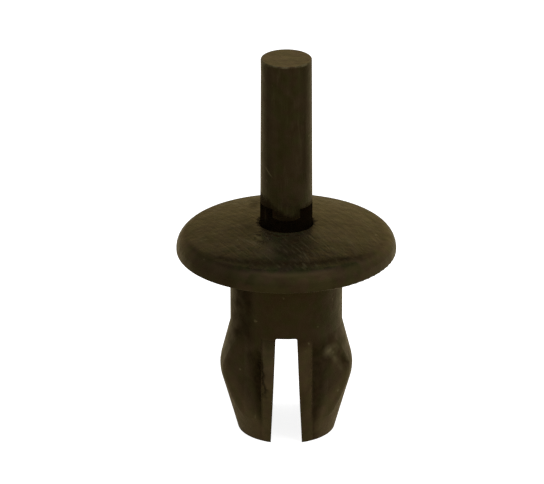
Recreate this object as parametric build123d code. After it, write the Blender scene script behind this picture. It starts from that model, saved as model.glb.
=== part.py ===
"""Two-piece drive rivet in moulded plastic, in millimetres.

A round flat-bottomed head carries a short shank that is split below into two barbed legs.
A drive pin stands over the bore; pushed down until its top is level with the head, it
spreads the legs behind the panel.

Frame: origin on the axis, in the plane of the head's underside. +Z points up along the pin,
+X points across the slot, so that the two legs lie at -X and +X, and the slot opens along Y.
"""
from build123d import *

import os
from math import hypot, sqrt

# ---- head -----------------------------------------------------------------------------------
HEAD_DIAMETER = 12.4
HEAD_SHOULDER_INSET = 0.45      # from the rim in to where its band turns over into the crown
HEAD_SHOULDER_HEIGHT = 1.06
HEAD_SHOULDER_RADIUS = 0.90     # rounding of that turn
HEAD_CROWN_HEIGHT = 1.77        # crown at the axis, before the bore is cut
RIM_BULGE = 0.14                # how far the rim band stands out from its own chord
RIM_EDGE_RADIUS = 0.10          # rounding where the rim meets the underside

# ---- shank and bore -------------------------------------------------------------------------
SHANK_DIAMETER = 6.34
LEG_TIP_DEPTH = 10.75           # from the head's underside to the flat tips
SHANK_ROOT_RADIUS = 0.12        # fillet where the shank meets the head
BORE_MOUTH_RADIUS = 0.10        # rounding of the bore's upper edge

# ---- drive pin ------------------------------------------------------------------------------
PIN_DIAMETER = 2.94             # at its lower end
PIN_TOP_DIAMETER = 2.86         # moulding draft makes the top a little thinner
PIN_TOP_HEIGHT = 11.6
PIN_RUNNING_CLEARANCE = 0.04    # between the pin and the bore, all round
PIN_EDGE_RADIUS = 0.08
PIN_STANDOFF = 1.30             # from the bore's mouth up to the pin's full section
TONGUE_WIDTH = 1.55             # the blade left below the full section, side to side
TONGUE_LENGTH = 0.95
TONGUE_TIP_DIAMETER = 1.50      # the blunt end of the tongue
TONGUE_TAPER = 0.55             # height over which it tapers to that end
WEB_THICKNESS = 0.26            # two thin break-away webs, left and right of the tongue
WEB_ENGAGEMENT = 0.75           # how far the webs reach into the bore

# ---- barbs: four ribs round the legs, two of them cut in half by the slot ---------------------
BARB_START_DEPTH = 4.25         # where the barbs leave the shank
BARB_CREST_DEPTH = 6.90         # where they are widest
BARB_RISE = 0.67                # how far the crests stand out from the shank, before rounding
BARB_CREST_RADIUS = 2.40
BARB_EDGE_RADIUS = 0.50         # rounding along the flanks of the barbs on the outer sides
LEG_TIP_DIAMETER = 5.52         # the round of the legs at their flat tips
BARB_WIDTH = 2.00               # the barb on each leg's outer side, at its crest
BARB_ROOT_WIDTH = 4.20          # the same barb where its flanks meet the round of the shank
SLOT_RIB_WIDTH = 2.70           # the two ribs that the slot cuts in half, at their crests
SLOT_RIB_ROOT_WIDTH = 2.86

# ---- slot -----------------------------------------------------------------------------------
SLOT_TOP_DEPTH = 4.10
SLOT_WIDTH_AT_TOP = 1.20
SLOT_WIDTH_AT_TIPS = 1.76
SLOT_CORNER_RADIUS = 0.10

# ---- places worked out from the sizes above --------------------------------------------------
SHANK_RADIUS = SHANK_DIAMETER / 2
CREST_REACH = SHANK_RADIUS + BARB_RISE
SHOULDER_REACH = HEAD_DIAMETER / 2 - HEAD_SHOULDER_INSET
BORE_RADIUS = PIN_DIAMETER / 2 + PIN_RUNNING_CLEARANCE
OVERCUT = 1.0                   # how far cutting bodies run past the faces that they open
SAME = 1e-6                     # lengths closer than this are the same


def crown_height_at(radius):
    """Height of the domed crown at a distance from the axis."""
    rise = HEAD_CROWN_HEIGHT - HEAD_SHOULDER_HEIGHT
    return HEAD_CROWN_HEIGHT - rise * (radius / SHOULDER_REACH) ** 2


def core_reach(half_width):
    """Distance from the axis to the round core's surface along a line half_width off the middle."""
    return sqrt(SHANK_RADIUS ** 2 - half_width ** 2)


def reach_of(edge):
    """Distance from the axis to the middle of an edge."""
    middle = edge @ 0.5
    return hypot(middle.X, middle.Y)


BORE_MOUTH_HEIGHT = crown_height_at(BORE_RADIUS)


def make_head():
    """The button head: a flat underside, a convex rim band and a shallow domed crown."""
    underside_edge = Vector(HEAD_DIAMETER / 2 - RIM_EDGE_RADIUS, 0)
    rim_foot = Vector(HEAD_DIAMETER / 2, RIM_EDGE_RADIUS)
    shoulder = Vector(SHOULDER_REACH, HEAD_SHOULDER_HEIGHT)
    rim_chord = shoulder - rim_foot
    outward = Vector(rim_chord.Y, -rim_chord.X).normalized()
    rim_middle = (rim_foot + shoulder) / 2 + outward * RIM_BULGE
    crown_top = Vector(0, HEAD_CROWN_HEIGHT)
    crown_middle = Vector(shoulder.X / 2, crown_height_at(shoulder.X / 2))
    with BuildPart() as head:
        with BuildSketch(Plane.XZ):
            with BuildLine():
                Line((0, 0), underside_edge)
                RadiusArc(underside_edge, rim_foot, -RIM_EDGE_RADIUS)
                ThreePointArc(rim_foot, rim_middle, shoulder)
                ThreePointArc(shoulder, crown_middle, crown_top)
                Line(crown_top, (0, 0))
            make_face()
            turn = [v for v in vertices() if abs(v.X - shoulder.X) < SAME]
            fillet(turn, HEAD_SHOULDER_RADIUS)
        revolve(axis=Axis.Z)
    return head.part


def make_barb_envelope():
    """The shank and barbs as if they went all the way round: an arrow profile, revolved."""
    with BuildPart() as envelope:
        with BuildSketch(Plane.XZ):
            with BuildLine():
                Polyline(
                    (0, 0),
                    (SHANK_RADIUS, 0),
                    (SHANK_RADIUS, -BARB_START_DEPTH),
                    (CREST_REACH, -BARB_CREST_DEPTH),
                    (LEG_TIP_DIAMETER / 2, -LEG_TIP_DEPTH),
                    (0, -LEG_TIP_DEPTH),
                    close=True,
                )
            make_face()
            crest = [v for v in vertices() if abs(v.Y + BARB_CREST_DEPTH) < SAME]
            fillet(crest, BARB_CREST_RADIUS)
        revolve(axis=Axis.Z)
    return envelope.part


def make_rib_pair(crest_width, root_width):
    """Two opposite ribs, at -X and +X, as upright prisms whose flanks end on the round core."""
    half_crest = crest_width / 2
    half_root = root_width / 2
    root = core_reach(half_root)
    with BuildPart() as pair:
        with BuildSketch(Plane.XY):
            with BuildLine():
                Polyline(
                    (CREST_REACH, -half_crest),
                    (CREST_REACH, half_crest),
                    (root, half_root),
                    (-root, half_root),
                    (-CREST_REACH, half_crest),
                    (-CREST_REACH, -half_crest),
                    (-root, -half_root),
                    (root, -half_root),
                    close=True,
                )
            make_face()
        extrude(amount=-LEG_TIP_DEPTH)
    return pair.part


def make_legs():
    """Shank and legs before the slot: a round core with four ribs that merge into it."""
    core = Cylinder(SHANK_RADIUS, LEG_TIP_DEPTH, align=(Align.CENTER, Align.CENTER, Align.MAX))
    barbs = make_rib_pair(BARB_WIDTH, BARB_ROOT_WIDTH)
    slot_ribs = Rot(0, 0, 90) * make_rib_pair(SLOT_RIB_WIDTH, SLOT_RIB_ROOT_WIDTH)
    legs = make_barb_envelope() & (core + barbs + slot_ribs)
    flank_edges = [
        e for e in legs.edges()
        if abs((e @ 0.5).X) > core_reach(BARB_ROOT_WIDTH / 2) + SAME
        and abs((e @ 0.5).Y) > BARB_WIDTH / 2
        and (e @ 0.5).Z < -BARB_START_DEPTH - SAME
    ]
    return fillet(flank_edges, BARB_EDGE_RADIUS)


def make_slot():
    """The slot between the legs: open at the tips and through from front to back."""
    past_tips = LEG_TIP_DEPTH + OVERCUT
    half_top = SLOT_WIDTH_AT_TOP / 2
    slope = (SLOT_WIDTH_AT_TIPS - SLOT_WIDTH_AT_TOP) / 2 / (LEG_TIP_DEPTH - SLOT_TOP_DEPTH)
    half_bottom = half_top + slope * (past_tips - SLOT_TOP_DEPTH)
    with BuildPart() as slot:
        with BuildSketch(Plane.XZ):
            with BuildLine():
                Polyline(
                    (-half_top, -SLOT_TOP_DEPTH),
                    (half_top, -SLOT_TOP_DEPTH),
                    (half_bottom, -past_tips),
                    (-half_bottom, -past_tips),
                    close=True,
                )
            make_face()
            corners = [v for v in vertices() if abs(v.Y + SLOT_TOP_DEPTH) < SAME]
            fillet(corners, SLOT_CORNER_RADIUS)
        extrude(amount=CREST_REACH + OVERCUT, both=True)
    return slot.part


def make_bore():
    """The straight bore that guides the pin, open at the crown and at the tips."""
    bottom = -LEG_TIP_DEPTH - OVERCUT
    height = HEAD_CROWN_HEIGHT + OVERCUT - bottom
    bore = Cylinder(BORE_RADIUS, height, align=(Align.CENTER, Align.CENTER, Align.MIN))
    return Pos(0, 0, bottom) * bore


def make_body():
    """Head, shank and split legs, moulded as one."""
    body = make_head() + make_legs()
    root = [
        e for e in body.edges().filter_by(GeomType.CIRCLE)
        if abs(e.center().Z) < SAME and abs(e.radius - SHANK_RADIUS) < SAME
    ]
    body = fillet(root, SHANK_ROOT_RADIUS) - make_slot() - make_bore()
    mouth = [
        e for e in body.edges()
        if (e @ 0.5).Z > HEAD_SHOULDER_HEIGHT and abs(reach_of(e) - BORE_RADIUS) < SAME
    ]
    return fillet(mouth, BORE_MOUTH_RADIUS)


def make_tongue(foot):
    """The tapered blade below the pin's full section: what four corner pockets leave of it."""
    radius = PIN_DIAMETER / 2
    end = foot - TONGUE_LENGTH
    with BuildPart() as tongue:
        with BuildSketch(Plane.XZ):
            with BuildLine():
                Polyline(
                    (0, foot),
                    (radius, foot),
                    (radius, end + TONGUE_TAPER),
                    (TONGUE_TIP_DIAMETER / 2, end),
                    (0, end),
                    close=True,
                )
            make_face()
        revolve(axis=Axis.Z)
        with Locations((0, 0, end)):
            Box(
                TONGUE_WIDTH, PIN_DIAMETER, TONGUE_LENGTH,
                align=(Align.CENTER, Align.CENTER, Align.MIN), mode=Mode.INTERSECT,
            )
    return tongue.part


def make_drive_pin():
    """The pin above the bore, with the tongue and the two webs that reach into the mouth."""
    foot = BORE_MOUTH_HEIGHT + PIN_STANDOFF
    with BuildPart() as pin:
        with BuildSketch(Plane.XZ):
            with BuildLine():
                Polyline(
                    (0, PIN_TOP_HEIGHT),
                    (PIN_TOP_DIAMETER / 2, PIN_TOP_HEIGHT),
                    (PIN_DIAMETER / 2, foot),
                    (0, foot),
                    close=True,
                )
            make_face()
        revolve(axis=Axis.Z)
        top_edge = [
            e for e in pin.edges().filter_by(GeomType.CIRCLE)
            if abs(e.center().Z - PIN_TOP_HEIGHT) < SAME
        ]
        fillet(top_edge, PIN_EDGE_RADIUS)
        add(make_tongue(foot))
        with Locations((0, 0, foot)):
            Box(
                PIN_DIAMETER, WEB_THICKNESS, PIN_STANDOFF + WEB_ENGAGEMENT,
                align=(Align.CENTER, Align.CENTER, Align.MAX),
            )
    return pin.part


os.makedirs("parts", exist_ok=True)
export_step(make_body(), "parts/body.step")
export_step(make_drive_pin(), "parts/drive_pin.step")
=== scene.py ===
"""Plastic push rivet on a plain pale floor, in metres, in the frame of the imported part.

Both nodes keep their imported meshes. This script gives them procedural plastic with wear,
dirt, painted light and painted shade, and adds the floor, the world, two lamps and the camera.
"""
from math import cos, radians, sin
from typing import Any, NamedTuple

import bpy
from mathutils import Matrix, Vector


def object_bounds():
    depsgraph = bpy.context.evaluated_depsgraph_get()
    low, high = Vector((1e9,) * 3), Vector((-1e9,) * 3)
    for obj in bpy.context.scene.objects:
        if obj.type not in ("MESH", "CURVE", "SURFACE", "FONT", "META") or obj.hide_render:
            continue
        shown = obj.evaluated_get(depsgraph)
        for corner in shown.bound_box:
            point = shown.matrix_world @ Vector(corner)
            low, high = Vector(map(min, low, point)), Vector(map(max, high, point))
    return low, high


MM = 0.001                      # metres

# ---- camera: a long lens, from the front and above ---------------------------------------------
IMAGE_WIDTH = 544               # pixels; the picture is 544 x 484
AXIS_COLUMN = 286.3             # the pixel column on which the rivet's axis stands
FOCAL_PIXELS = 5544
PIXELS_PER_MM = 17.76           # at the aim point
AIM_HEIGHT = 0.485 * MM
CAMERA_ELEVATION = 23.3         # degrees
SENSOR_WIDTH = 36
CLIP_START = 10 * MM

# ---- floor -------------------------------------------------------------------------------------
FLOOR_SIZE = 1200 * MM
FLOOR_GAP = 0.01 * MM           # a hair under the tips, so that the faces don't coincide
FLOOR_BEIGE = (0.57, 0.475, 0.29)
FLOOR_WHITE = (0.80, 0.80, 0.80)  # what the camera sees instead
FLOOR_LIFT = 0.86               # added for the camera alone, so that the floor reads white

# ---- light -------------------------------------------------------------------------------------
WORLD_LIGHT = 0.45              # what matt surfaces get from the world
BACKDROP_GLOW = 0.43            # what gloss sees low behind the rivet
CEILING_GLOW = 0.05             # what gloss sees overhead
FRONT_GLOW = 0.26               # what gloss sees behind the camera
LEFT_SHARE = 0.50               # of that glow, on the left, on the right and at the far right
RIGHT_SHARE = 1.30
FAR_RIGHT_SHARE = 0.72
GLOW_TINT = (1.0, 0.74, 0.30)   # the warm wall that gloss sees
WHITE = (1.0, 1.0, 1.0)
SOFTBOX_DISTANCE = 0.30         # metres
SOFTBOX_SIZE = 0.25             # metres
SOFTBOXES = (                   # name, azimuth and elevation in degrees, watts
    ("softbox_right", 60, 45, 0.40),
    ("softbox_left", -70, 40, 0.15),
)

# ---- plastic: linear colours -------------------------------------------------------------------
DARK_OLIVE = (0.0040, 0.0064, 0.0023)
DARK_BROWN = (0.0082, 0.0056, 0.0042)
LIGHT_OLIVE = (0.0138, 0.0186, 0.0066)
LIGHT_BROWN = (0.0215, 0.0162, 0.0115)
# paler colours, for painted light and for wear
PAINTED_LIGHT_AND_WEAR_OLIVE = (0.0505, 0.0450, 0.0190)
PAINTED_LIGHT_AND_WEAR_BROWN = (0.0570, 0.0410, 0.0225)
# palest colour, for scuffs, nicks and scratches and for painted highlights
SCUFF_AND_HIGHLIGHT_PALE = (0.1300, 0.1180, 0.0680)
# darkest colours, for grime and for painted shade
SHADE_AND_GRIME_BLACK = (0.0024, 0.0018, 0.0012)
SHADE_AND_GRIME_BROWN = (0.0062, 0.0028, 0.0015)

# ---- plastic: shine ----------------------------------------------------------------------------
SMOOTH = 0.25                   # roughness in the dark of the mottle, and in its light
SATIN = 0.40
# roughness added where grime and painted shade are
SHADE_AND_GRIME_ROUGHNESS = 0.55          # added by grime
SPECULAR_LEVEL = 0.35
GLOSS_TINT = (1.0, 0.71, 0.32, 1.0)
SHEEN_WEIGHT = 0.05
SHEEN_ROUGHNESS = 0.5
SHEEN_TINT = (1.0, 0.74, 0.34, 1.0)

# ---- plastic: pattern --------------------------------------------------------------------------
MOTTLE_SHARE = 0.55             # of light and dark, the rest of which is the larger cloud
WAVE_TONE = 0.9                 # how far the drawn-out waves lighten and darken
SCRATCH_CALM = 0.4              # how far scratched plastic keeps to the middle of the two hues
# how far painted light and worn plastic turn to the brown hue
PAINTED_LIGHT_AND_WEAR_BROWNING = 0.5           # how far rubbed plastic turns to the brown hue
SCRATCH_PALE = 0.17
NICK_PALE = 0.4
RELIEF_STEP = 0.012 * MM
RELIEF_STRENGTH = 0.5
RELIEF = {                      # heights, in steps
    "grain": 0.4,
    "scratches": -0.8,
    "mottle": 1.4,
    "waves": 3.0,
    "cloud": 3.5,
    "torn": -9.0,
}

# ---- places on the rivet, in millimetres -------------------------------------------------------
PIN_TOP = 11.60
PIN_FOOT = 3.05                 # where the pin's full section ends
PIN_EDGE_RADIUS = 1.34          # inside the edge of its top
BORE_RADIUS = 1.51
CROWN_BASE = 0.9                # above it is the head's top
CROWN_EDGE_RADIUS = 5.4
RIM_RADIUS = 5.80               # outside it is the rim
SHANK_MIDDLE = -2.6
BARB_START = -4.25
RIB_HALF_WIDTH = 1.35           # of the ribs that the slot cuts in half
# the pale cone is painted light and the dark recess painted shade
CONE_SLOPE = 1.4                # of the line on which the pale cone meets the dark recess
CONE_MEETS_AXIS = -11.4
CREASE_CENTRE = 2.04            # y of the centre of the arc that the shoulder's crease follows
CREASE_RADIUS = 6.90
# the painted highlight on the right barb: its middle, where its tail starts and the way that the
# tail runs
HIGHLIGHT_CENTRE = (2.5, -5.3)      # x and z of the scuff on the right barb
HIGHLIGHT_TAIL = (2.46, -5.26)      # where its tail starts, and the way that the tail runs
HIGHLIGHT_TAIL_WAY = (0.424, -0.905)
PIN_SCRATCH = (-1.0, 5.19)      # x and z of the middle of the scratch low on the pin
PIN_SCRATCH_WAY = (0.6, -0.8)

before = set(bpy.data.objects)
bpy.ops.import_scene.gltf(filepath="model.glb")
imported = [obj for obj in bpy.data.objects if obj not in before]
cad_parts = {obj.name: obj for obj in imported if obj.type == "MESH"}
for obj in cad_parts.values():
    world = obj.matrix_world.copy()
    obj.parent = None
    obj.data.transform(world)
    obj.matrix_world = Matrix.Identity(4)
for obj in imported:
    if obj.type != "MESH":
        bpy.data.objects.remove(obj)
cad_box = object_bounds()
scene = bpy.context.scene


# ---- nodes with arithmetic ---------------------------------------------------------------------
class Value:
    """A node's output. Arithmetic and soft steps on it make more nodes."""

    def __init__(self, tree, socket):
        self.tree = tree
        self.socket = socket

    def __add__(self, other):
        return self.tree.math("ADD", self, other)

    def __sub__(self, other):
        return self.tree.math("SUBTRACT", self, other)

    def __rsub__(self, other):
        return self.tree.math("SUBTRACT", other, self)

    def __mul__(self, other):
        return self.tree.math("MULTIPLY", self, other)

    __radd__ = __add__
    __rmul__ = __mul__

    def __abs__(self):
        return self.tree.math("ABSOLUTE", self)

    def remap(self, from_low, from_high, to_low, to_high):
        """A straight ramp between two values, level outside them."""
        node = self.tree.add(
            "ShaderNodeMapRange",
            Value=self, From_Min=from_low, From_Max=from_high, To_Min=to_low, To_Max=to_high,
        )
        return self.tree.out(node)

    def under(self, limit, soft):
        """1 where this is under limit, 0 past it, with a soft step."""
        return self.remap(limit - soft, limit + soft, 1.0, 0.0)

    def over(self, limit, soft):
        """1 where this is over limit, 0 below it, with a soft step."""
        return self.remap(limit - soft, limit + soft, 0.0, 1.0)

    def near(self, middle, reach, soft):
        """1 within reach of middle, 0 away from it, with soft steps."""
        return abs(self - middle).under(reach, soft)


class Tree:
    """A node tree with short calls for adding and linking nodes."""

    def __init__(self, tree):
        self.tree = tree

    def add(self, kind, **inputs):
        """A new node; each keyword is an input's name with _ for a space, set or linked."""
        node = self.tree.nodes.new(kind)
        for name, value in inputs.items():
            self.put(node.inputs[name.replace("_", " ")], value)
        return node

    def put(self, socket, value):
        if isinstance(value, Value):
            self.tree.links.new(value.socket, socket)
        else:
            socket.default_value = value

    def out(self, node, name=0):
        return Value(self, node.outputs[name])

    def math(self, operation, first, second=0.0):
        node = self.tree.nodes.new("ShaderNodeMath")
        node.operation = operation
        self.put(node.inputs[0], first)
        self.put(node.inputs[1], second)
        return self.out(node)

    def split(self, vector):
        """The x, y and z of a vector."""
        node = self.add("ShaderNodeSeparateXYZ", Vector=vector)
        return [self.out(node, axis) for axis in "XYZ"]

    def blend(self, factor, first, second):
        """A colour between two colours, each a Value or three numbers."""
        node = self.tree.nodes.new("ShaderNodeMix")
        node.data_type = "RGBA"
        self.put(node.inputs[0], factor)
        for socket, colour in ((node.inputs[6], first), (node.inputs[7], second)):
            self.put(socket, (*colour, 1) if isinstance(colour, tuple) else colour)
        return self.out(node, 2)

    def noise(self, where, scale, detail, roughness=0.55, distortion=0.0):
        """Noise with scale cells to the millimetre."""
        node = self.add(
            "ShaderNodeTexNoise",
            Vector=where, Scale=scale, Detail=detail, Roughness=roughness, Distortion=distortion,
        )
        return self.out(node)

    def patches(self, where, scale, detail, low=0.0, high=1.0, cut=(0.35, 0.65), **shape):
        """Noise that runs from low to high between the two levels at which it is cut."""
        return self.noise(where, scale, detail, **shape).remap(*cut, low, high)

    def in_millimetres(self, where):
        """Coordinates in metres turned into millimetres."""
        return self.out(self.add("ShaderNodeMapping", Vector=where, Scale=(1 / MM,) * 3))

    def drawn_out(self, where, turn, stretch):
        """Coordinates in which a noise is drawn out along the turned X, Y and Z by stretch."""
        node = self.add("ShaderNodeMapping", Vector=where)
        node.vector_type = "TEXTURE"
        node.inputs["Rotation"].default_value = turn
        node.inputs["Scale"].default_value = stretch
        return self.out(node)


def most(first, *others):
    """The strongest of the masks at each point."""
    strongest = first
    for mask in others:
        strongest = strongest.tree.math("MAXIMUM", strongest, mask)
    return strongest


def distance(*offsets):
    """Length of the vector with these parts."""
    return offsets[0].tree.math("SQRT", sum(offset * offset for offset in offsets))


def from_line(x, z, start, way, shift=0.0):
    """Distance in the x-z plane from the line that runs from start that way, shifted sideways."""
    return abs((x - start[0]) * -way[1] + (z - start[1]) * way[0] - shift)


def by_side(x, left, right):
    """One amount on the left leg and another on the right."""
    return x.remap(-1.0, 1.0, left, right)


# ---- marks: masks from 0 to 1; all lengths are in millimetres ----------------------------------
class Marks(NamedTuple):
    """Where plastic is marked: each a Value, or one number for the whole piece."""

    # painted light, and wear
    painted_light_and_wear: Any = 0.0           # paler and browner
    # scuffs, and painted highlights
    scuffs_and_highlights: Any = 0.0          # palest
    # grime, and painted shade
    grime_and_painted_shade: Any = 0.0
    scratched: Any = 0.0        # finely, with waves
    torn: Any = 0.0             # sunk


def pin_marks(tree, where, x, y, z):
    """Painted light on its top and a painted highlight round its edge; painted shade in the pockets
    beside the tongue, round its end and on its flanks.
    """
    side = abs(x)
    front = y.under(0.0, soft=0.1)
    wobble = tree.patches(where, 3.2, 2.0, low=-0.14, high=0.14)

    # painted light: the whole top face paler
    top = 0.65 * z.over(PIN_TOP - 0.05, soft=0.03)
    # painted highlight round the edge of the top, in patches
    edge = z.over(PIN_TOP - 0.09, soft=0.02) * distance(x, y).over(PIN_EDGE_RADIUS, soft=0.03)
    edge *= tree.patches(where, 2.6, 2.0, high=0.45, cut=(0.40, 0.60))
    scratch = from_line(x, z, PIN_SCRATCH, PIN_SCRATCH_WAY).under(0.03, soft=0.03) * front
    scratch *= 0.45 * z.near(PIN_SCRATCH[1], reach=0.22, soft=0.08)

    # painted shade down both flanks of its front
    flanks = side.near(1.02, reach=0.18, soft=0.15) * z.under(PIN_TOP - 0.12, soft=0.04)
    flanks *= 0.45 * front * z.over(4.4, soft=0.6)
    # painted shade in the pockets beside the tongue, round the foot and over the tongue's end
    pockets = z.under(PIN_FOOT, soft=0.02) * abs(y).under(0.95, soft=0.15)
    foot = (z + wobble).under(PIN_FOOT + 0.08, soft=0.16) * side.over(0.60, soft=0.20) * 0.85
    below_foot = PIN_FOOT - z
    tongue_end = (side * 0.4 - x * 0.35 + (below_foot + wobble)).over(0.42, soft=0.16)

    return Marks(
        painted_light_and_wear=top,
        scuffs_and_highlights=most(edge, scratch),
        grime_and_painted_shade=most(pockets, foot, tongue_end, flanks),
        scratched=0.50,
    )


class BodyPlaces:
    """Measures and masks that several marks on the body use."""

    def __init__(self, tree, where, x, y, z):
        self.tree = tree
        self.where = where
        self.x, self.y, self.z = x, y, z
        self.side = abs(x)
        self.radius = distance(x, y)
        self.from_rib = self.side - by_side(x, RIB_HALF_WIDTH, RIB_HALF_WIDTH + 0.08)
        self.ragged = tree.patches(where, 2.6, 2.0, low=0.2)
        self.ragged_soft = self.ragged.remap(0.2, 1.0, 0.6, 1.0)
        self.uneven = tree.patches(where, 0.9, 2.0, low=0.5)
        self.left = x.under(0.0, soft=0.1)
        self.front = y.under(0.0, soft=0.1)
        self.on_top = z.over(CROWN_BASE, soft=0.2)
        self.on_legs = z.under(BARB_START - 0.3, soft=0.3)
        self.outside = self.radius.over(2.2, soft=0.2)

    def patches(self, scale, detail, **levels):
        return self.tree.patches(self.where, scale, detail, **levels)


def head_top(at):
    """Scratched all over, with painted light in two places, the pin's painted reflection in front
    of it, a darker smear to its left, and painted shade in the crease and behind the pin.
    """
    # painted light: paler patches in front of the pin on the left and on the right
    lit_patch_front = at.x.near(-0.95, reach=0.40, soft=0.25) * at.y.near(-3.4, reach=0.9, soft=0.4) * 0.35
    lit_patch_right = at.x.near(3.3, reach=1.1, soft=0.8) * at.y.near(-1.3, reach=0.8, soft=0.8)
    lit_patch_right *= 0.30 * at.ragged
    # painted reflection of the pin: darker in front of it
    pin_reflection = at.x.near(0.65, reach=0.85, soft=0.45) * at.y.near(-2.9, reach=1.2, soft=0.8)
    smear = at.x.near(-2.2, reach=0.8, soft=0.7) * at.y.near(-0.9, reach=1.0, soft=0.7)
    # painted shade along the shoulder's crease
    crease = distance(at.x, at.y - CREASE_CENTRE).near(CREASE_RADIUS, reach=0.25, soft=0.20)
    crease *= at.y.under(-3.3, soft=0.6) * at.ragged_soft * 0.95
    # painted shade behind the pin on the left
    shade = at.x.near(-1.75, reach=0.30, soft=0.25) * at.y.near(3.2, reach=1.0, soft=0.6) * 0.35
    return Marks(
        painted_light_and_wear=most(lit_patch_front, lit_patch_right) * at.on_top,
        grime_and_painted_shade=most(pin_reflection * 0.75 * at.uneven, smear * 0.35 * at.uneven, crease, shade) * at.on_top,
        scratched=at.on_top * at.radius.under(CROWN_EDGE_RADIUS, soft=0.2),
    )


def head_rim(at):
    """Painted light, paler towards its top and at the far left, with a painted highlight along the
    front of its rounding, and painted shade low on the left.
    """
    # painted light on the rim, paler towards its top and at the far left, in patches
    rim = at.radius.over(RIM_RADIUS, soft=0.10) * at.z.remap(0.0, 0.7, 0.20, 0.48) * at.uneven
    rim *= at.x.remap(-5.8, -4.6, 1.6, 1.0)
    # painted highlight along the front of the rounding
    rounding = at.radius.near(RIM_RADIUS, reach=0.16, soft=0.14) * at.z.over(0.5, soft=0.2)
    rounding *= at.x.near(0.5, reach=2.4, soft=0.8) * at.front * 0.62
    # painted shade low on the left of the rim
    low_left_shade = at.x.near(-4.1, reach=1.5, soft=0.5) * at.y.under(-1.6, soft=0.8)
    low_left_shade *= at.radius.over(5.55, soft=0.15) * at.z.over(-0.1, soft=0.1) * 0.45
    return Marks(painted_light_and_wear=most(rim, rounding), grime_and_painted_shade=low_left_shade)


def bore_mouth(at):
    """Painted shade, black in the bore and along a ragged dark edge round its mouth, with flecks
    torn out in front of it.
    """
    # painted shade: black in the bore and dark along the mouth's ragged edge
    bore = at.radius.under(BORE_RADIUS + 0.03, soft=0.02)
    wobble = at.patches(3.0, 2.0, low=-0.13, high=0.13)
    mouth = (at.radius + wobble).under(BORE_RADIUS + 0.12, soft=0.10) * at.on_top * 0.9
    flecks = at.x.near(-0.3, reach=1.3, soft=0.3) * at.y.near(-2.0, reach=0.6, soft=0.3)
    flecks *= at.on_top * at.patches(3.4, 0.0, cut=(0.58, 0.62))
    return Marks(grime_and_painted_shade=most(bore, mouth, flecks), torn=flecks)


def shank(at):
    """Faintly paler down the middle of its front, with painted shade down its left side."""
    middle = at.x.near(0.0, reach=1.4, soft=0.6) * at.z.near(SHANK_MIDDLE, reach=1.6, soft=0.8)
    # painted shade down the shank's left side, in patches
    left_side_shade = at.x.near(-2.43, reach=0.54, soft=0.22) * at.z.near(SHANK_MIDDLE, reach=2.2, soft=0.5)
    left_side_shade *= at.patches(1.1, 1.0, low=0.50, high=0.90)
    return Marks(painted_light_and_wear=middle * at.front * 0.16, grime_and_painted_shade=left_side_shade * at.front)


def slot_ribs(at):
    """Painted light on the ribs, the left one more, and painted shade on the right one half way
    down.
    """
    # painted light on the ribs, fading downwards
    ribs = at.from_rib.under(0.0, soft=0.06) * at.z.under(-4.45, soft=0.4)
    ribs *= at.uneven * at.z.remap(-4.3, -7.5, 1.0, 0.82)
    # more painted light on the left rib, in the palest colour
    left = ribs * at.left * at.z.remap(-6.0, -5.2, 0.11, 0.20)
    # painted shade on the right rib below its crest
    spot = at.x.near(0.95, reach=0.15, soft=0.15) * at.z.near(-7.8, reach=0.6, soft=0.5)
    return Marks(painted_light_and_wear=ribs, scuffs_and_highlights=left, grime_and_painted_shade=spot * at.front * 0.45)


def legs(at):
    """Painted light on the barbs, more on the right, and on the cones below them; painted shade
    beside the ribs and high on the barbs.
    """
    cone_top = at.side * CONE_SLOPE + CONE_MEETS_AXIS
    # painted light on the cones, stronger towards the tips
    cones = at.outside * (at.z - cone_top).under(0.0, soft=0.5) * at.uneven
    cones *= by_side(at.x, 1.12, 1.0) * at.z.remap(-8.5, -10.3, 0.85, 1.25)
    # painted light on the barbs' outer parts, stronger on the right
    barbs = at.side.over(2.5, soft=0.2) * at.on_legs * at.uneven * by_side(at.x, 0.12, 0.35)
    # painted shade in the recess beside the ribs
    recess_edge = at.z.remap(-5.0, -9.6, 2.30, RIB_HALF_WIDTH) + by_side(at.x, 0.0, 0.35)
    recess = at.from_rib.over(0.06, soft=0.04) * (at.side - recess_edge).under(0.0, soft=0.20)
    recess *= at.outside * (at.z - by_side(at.x, -5.2, -4.6)).under(0.0, soft=0.35)
    recess *= at.ragged_soft * by_side(at.x, 0.95, 0.75)
    # painted shade high on the front of the barbs
    barb_top = at.side.near(3.20, reach=0.25, soft=0.20) * at.z.near(-5.0, reach=0.45, soft=0.35)
    barb_top *= at.y.remap(-1.6, -0.3, 1.0, 0.0) * 0.40
    return Marks(painted_light_and_wear=most(cones, barbs), grime_and_painted_shade=most(recess, barb_top))


def leg_streak(at):
    """Ragged painted shade beside the left rib, sunk and darkest at its heart, and faint painted
    shade on the right.
    """
    wander = at.patches(1.9, 1.0, low=-0.10, high=0.10)
    line = at.z.remap(-4.8, -7.1, RIB_HALF_WIDTH + 0.25, RIB_HALF_WIDTH - 0.14)
    from_streak = at.side + wander - line
    # painted shade beside the ribs; at its heart the surface is also sunk
    streak = from_streak.near(0.0, reach=0.10, soft=0.07) * at.z.near(-6.4, reach=1.3, soft=0.5)
    streak *= by_side(at.x, 1.0, 0.25) * at.patches(3.4, 1.0, low=0.5, cut=(0.40, 0.50))
    torn = from_streak.near(0.0, reach=0.08, soft=0.05) * at.z.near(-6.3, reach=1.2, soft=0.4)
    torn *= at.left * at.front * at.patches(4.2, 1.0, low=0.3, cut=(0.40, 0.48))
    return Marks(grime_and_painted_shade=most(streak, torn) * at.outside, torn=torn * at.outside)


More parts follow.
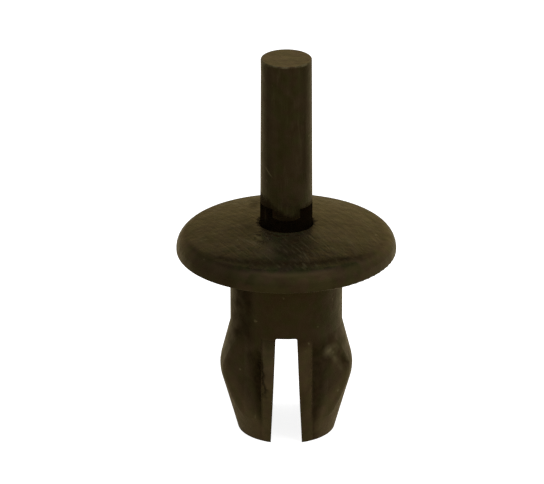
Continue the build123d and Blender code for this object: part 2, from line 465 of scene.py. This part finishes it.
def barb_highlight(at):
    """A painted highlight on the right barb, with a pale tail of painted highlight that has a line
    of painted shade beside it.
    """
    # painted highlight, with painted shade beside its tail
    from_centre = distance(at.x - HIGHLIGHT_CENTRE[0], at.z - HIGHLIGHT_CENTRE[1])
    spot = from_centre.under(0.28, soft=0.25) * at.front * at.ragged * 0.9
    tail = at.z.near(-6.0, reach=0.7, soft=0.3) * at.front * at.ragged
    pale = from_line(at.x, at.z, HIGHLIGHT_TAIL, HIGHLIGHT_TAIL_WAY).under(0.10, soft=0.10)
    dark = from_line(at.x, at.z, HIGHLIGHT_TAIL, HIGHLIGHT_TAIL_WAY, shift=0.34).under(0.20, soft=0.16)
    return Marks(scuffs_and_highlights=most(spot, pale * tail * 0.45), grime_and_painted_shade=dark * tail * 0.70)


def body_marks(tree, where, x, y, z):
    """All the marks on the body; where several meet, the strongest shows."""
    at = BodyPlaces(tree, where, x, y, z)
    areas = (head_top, head_rim, bore_mouth, shank, slot_ribs, legs, leg_streak, barb_highlight)
    marks = [area(at) for area in areas]
    return Marks(*(
        most(*(mask for mask in masks if isinstance(mask, Value))) for masks in zip(*marks)
    ))


# ---- materials ---------------------------------------------------------------------------------
def make_plastic(name, draw_turn, draw_stretch, make_marks):
    """Dark warm moulded plastic: mottled, finely scratched, worn and grimy, with painted light,
    painted highlights and painted shade.

    Its scratches and waves are drawn out along the turned X, Y and Z by draw_stretch.
    """
    mat = bpy.data.materials.new(name)
    mat.use_nodes = True
    tree = Tree(mat.node_tree)
    shader = mat.node_tree.nodes["Principled BSDF"]
    where = tree.in_millimetres(tree.out(tree.add("ShaderNodeTexCoord"), "Object"))
    along = tree.drawn_out(where, draw_turn, draw_stretch)
    marks = make_marks(tree, where, *tree.split(where))

    mottle = tree.patches(where, 2.1, 3.0, cut=(0.34, 0.66))
    cloud = tree.patches(where, 0.78, 2.0, cut=(0.34, 0.66))
    waves = marks.scratched * tree.patches(
        along, 2.4, 1.0, low=-0.16, high=0.16, cut=(0.38, 0.62), roughness=0.5, distortion=1.6
    )
    scratches = tree.patches(along, 6.2, 1.5, cut=(0.55, 0.68), roughness=0.6)
    scratches *= tree.patches(where, 0.7, 1.0, low=0.20, cut=(0.42, 0.60)) * marks.scratched
    nicks = tree.patches(where, 3.6, 0.0, high=NICK_PALE, cut=(0.82, 0.87)) * (1.0 - marks.grime_and_painted_shade)

    hue = tree.patches(where, 1.25, 1.0, cut=(0.42, 0.58))
    # painted light and wear turn browner
    hue += (0.5 - hue) * marks.scratched * SCRATCH_CALM + marks.painted_light_and_wear * PAINTED_LIGHT_AND_WEAR_BROWNING
    tone = mottle * MOTTLE_SHARE + cloud * (1.0 - MOTTLE_SHARE) + waves * WAVE_TONE
    # which of the two dark colours grime and painted shade take
    shade_and_grime_hue = tree.patches(where, 2.8, 2.0, cut=(0.45, 0.60))
    pale = most(marks.scuffs_and_highlights, nicks, scratches * SCRATCH_PALE)
    colour = tree.blend(
        tone, tree.blend(hue, DARK_OLIVE, DARK_BROWN), tree.blend(hue, LIGHT_OLIVE, LIGHT_BROWN)
    )
    # painted light and wear turn paler
    colour = tree.blend(marks.painted_light_and_wear, colour, tree.blend(hue, PAINTED_LIGHT_AND_WEAR_OLIVE, PAINTED_LIGHT_AND_WEAR_BROWN))
    # grime and painted shade turn dark
    colour = tree.blend(marks.grime_and_painted_shade, colour, tree.blend(shade_and_grime_hue, SHADE_AND_GRIME_BLACK, SHADE_AND_GRIME_BROWN))
    # scuffs, nicks, scratches and painted highlights turn palest
    colour = tree.blend(pale, colour, SCUFF_AND_HIGHLIGHT_PALE)

    tree.put(shader.inputs["Base Color"], colour)
    # grime and painted shade also roughen
    roughness = mottle.remap(0.0, 1.0, SMOOTH, SATIN) + marks.grime_and_painted_shade * SHADE_AND_GRIME_ROUGHNESS
    tree.put(shader.inputs["Roughness"], roughness)
    shader.inputs["Specular IOR Level"].default_value = SPECULAR_LEVEL
    shader.inputs["Specular Tint"].default_value = GLOSS_TINT
    shader.inputs["Sheen Weight"].default_value = SHEEN_WEIGHT
    shader.inputs["Sheen Roughness"].default_value = SHEEN_ROUGHNESS
    shader.inputs["Sheen Tint"].default_value = SHEEN_TINT

    heights = {
        "grain": tree.noise(where, 9.0, 2.0),
        "scratches": scratches,
        "mottle": mottle,
        "waves": waves,
        "cloud": cloud,
        "torn": marks.torn,
    }
    height = sum(heights[name] * steps for name, steps in RELIEF.items())
    bump = tree.add("ShaderNodeBump", Strength=RELIEF_STRENGTH, Distance=RELIEF_STEP, Height=height)
    tree.put(shader.inputs["Normal"], tree.out(bump))
    return mat


def make_floor_material():
    """Matt beige; the camera sees it white, lifted to the backdrop's white, with its shadow."""
    mat = bpy.data.materials.new("floor_white")
    mat.use_nodes = True
    tree = Tree(mat.node_tree)
    nodes = mat.node_tree.nodes
    nodes.remove(nodes["Principled BSDF"])
    to_camera = tree.out(tree.add("ShaderNodeLightPath"), "Is Camera Ray")
    colour = tree.blend(to_camera, FLOOR_BEIGE, FLOOR_WHITE)
    matt = tree.add("ShaderNodeBsdfDiffuse", Color=colour)
    lift = tree.add("ShaderNodeEmission", Strength=to_camera * FLOOR_LIFT)
    both = tree.add("ShaderNodeAddShader")
    tree.put(both.inputs[0], tree.out(matt))
    tree.put(both.inputs[1], tree.out(lift))
    tree.put(nodes["Material Output"].inputs["Surface"], tree.out(both))
    return mat


# ---- studio ------------------------------------------------------------------------------------
def make_world():
    """White to the camera and even to matt surfaces.

    Gloss sees a warm glow instead: bright low behind, dark overhead and dim in front.
    """
    world = bpy.data.worlds.new("studio")
    scene.world = world
    world.use_nodes = True
    tree = Tree(world.node_tree)
    path = tree.add("ShaderNodeLightPath")
    to_camera, to_matt, to_gloss = (
        tree.out(path, name) for name in ("Is Camera Ray", "Is Diffuse Ray", "Is Glossy Ray")
    )
    # In the world the generated coordinates are the direction, each part from -1 to 1.
    right, back, up = tree.split(tree.out(tree.add("ShaderNodeTexCoord"), "Generated"))

    behind = back.remap(-0.2, 0.6, 0.0, 1.0)
    below_ceiling = up.remap(0.64, 0.76, 1.0, 0.0)
    dimmer_at_floor = up.remap(0.05, 0.45, 0.82, 1.0)
    in_front = back.remap(0.40, -0.20, 0.0, 1.0) * up.remap(0.2, 0.8, 0.75, 1.05)
    share = right.remap(-0.55, 0.40, LEFT_SHARE, RIGHT_SHARE)
    share *= right.remap(0.45, 0.85, 1.0, FAR_RIGHT_SHARE)
    glow = CEILING_GLOW + behind * below_ceiling * dimmer_at_floor * BACKDROP_GLOW
    glow = (glow + in_front * FRONT_GLOW) * share

    background = world.node_tree.nodes["Background"]
    tree.put(background.inputs["Color"], tree.blend(to_gloss, WHITE, GLOW_TINT))
    strength = most(to_gloss * glow + to_matt * WORLD_LIGHT, to_camera)
    tree.put(background.inputs["Strength"], strength)


def make_softbox(name, azimuth, elevation, power):
    """A square lamp that faces the rivet from a direction in degrees; gloss doesn't see it."""
    a, e = radians(azimuth), radians(elevation)
    towards = Vector((sin(a) * cos(e), -cos(a) * cos(e), sin(e)))
    lamp = bpy.data.objects.new(name, bpy.data.lights.new(name, "AREA"))
    scene.collection.objects.link(lamp)
    lamp.location = towards * SOFTBOX_DISTANCE
    lamp.rotation_euler = (-towards).to_track_quat("-Z", "Y").to_euler()
    lamp.data.size = SOFTBOX_SIZE
    lamp.data.energy = power
    lamp.visible_glossy = False


def make_floor():
    """A plain square on which the tips stand."""
    low = cad_box[0].z - FLOOR_GAP
    half = FLOOR_SIZE / 2
    mesh = bpy.data.meshes.new("floor")
    corners = [(-half, -half, low), (half, -half, low), (half, half, low), (-half, half, low)]
    mesh.from_pydata(corners, [], [(0, 1, 2, 3)])
    mesh.materials.append(make_floor_material())
    floor = bpy.data.objects.new("floor", mesh)
    scene.collection.objects.link(floor)


def make_camera():
    """The photo's camera, shifted sideways so that the rivet stands on its column."""
    elevation = radians(CAMERA_ELEVATION)
    back = Vector((0, -cos(elevation), sin(elevation)))
    camera = bpy.data.objects.new("camera", bpy.data.cameras.new("camera"))
    scene.collection.objects.link(camera)
    camera.location = Vector((0, 0, AIM_HEIGHT)) + back * (FOCAL_PIXELS / PIXELS_PER_MM * MM)
    camera.rotation_euler = (-back).to_track_quat("-Z", "Y").to_euler()
    camera.data.sensor_width = SENSOR_WIDTH
    camera.data.lens = FOCAL_PIXELS / IMAGE_WIDTH * SENSOR_WIDTH
    camera.data.shift_x = -(AXIS_COLUMN - IMAGE_WIDTH / 2) / IMAGE_WIDTH
    camera.data.clip_start = CLIP_START
    scene.camera = camera


scene.view_settings.view_transform = "Standard"
make_camera()
make_world()
make_floor()
for softbox in SOFTBOXES:
    make_softbox(*softbox)

plastics = {
    # On the body the scratches run slantwise over the head's top, on the pin along it.
    "body": make_plastic("body_plastic", (0, 0, radians(-60)), (9.0, 1.0, 1.0), body_marks),
    "drive_pin": make_plastic("pin_plastic", (0, 0, 0), (1.0, 1.0, 9.0), pin_marks),
}
for node, plastic in plastics.items():
    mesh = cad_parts[node].data
    mesh.materials.clear()
    mesh.materials.append(plastic)
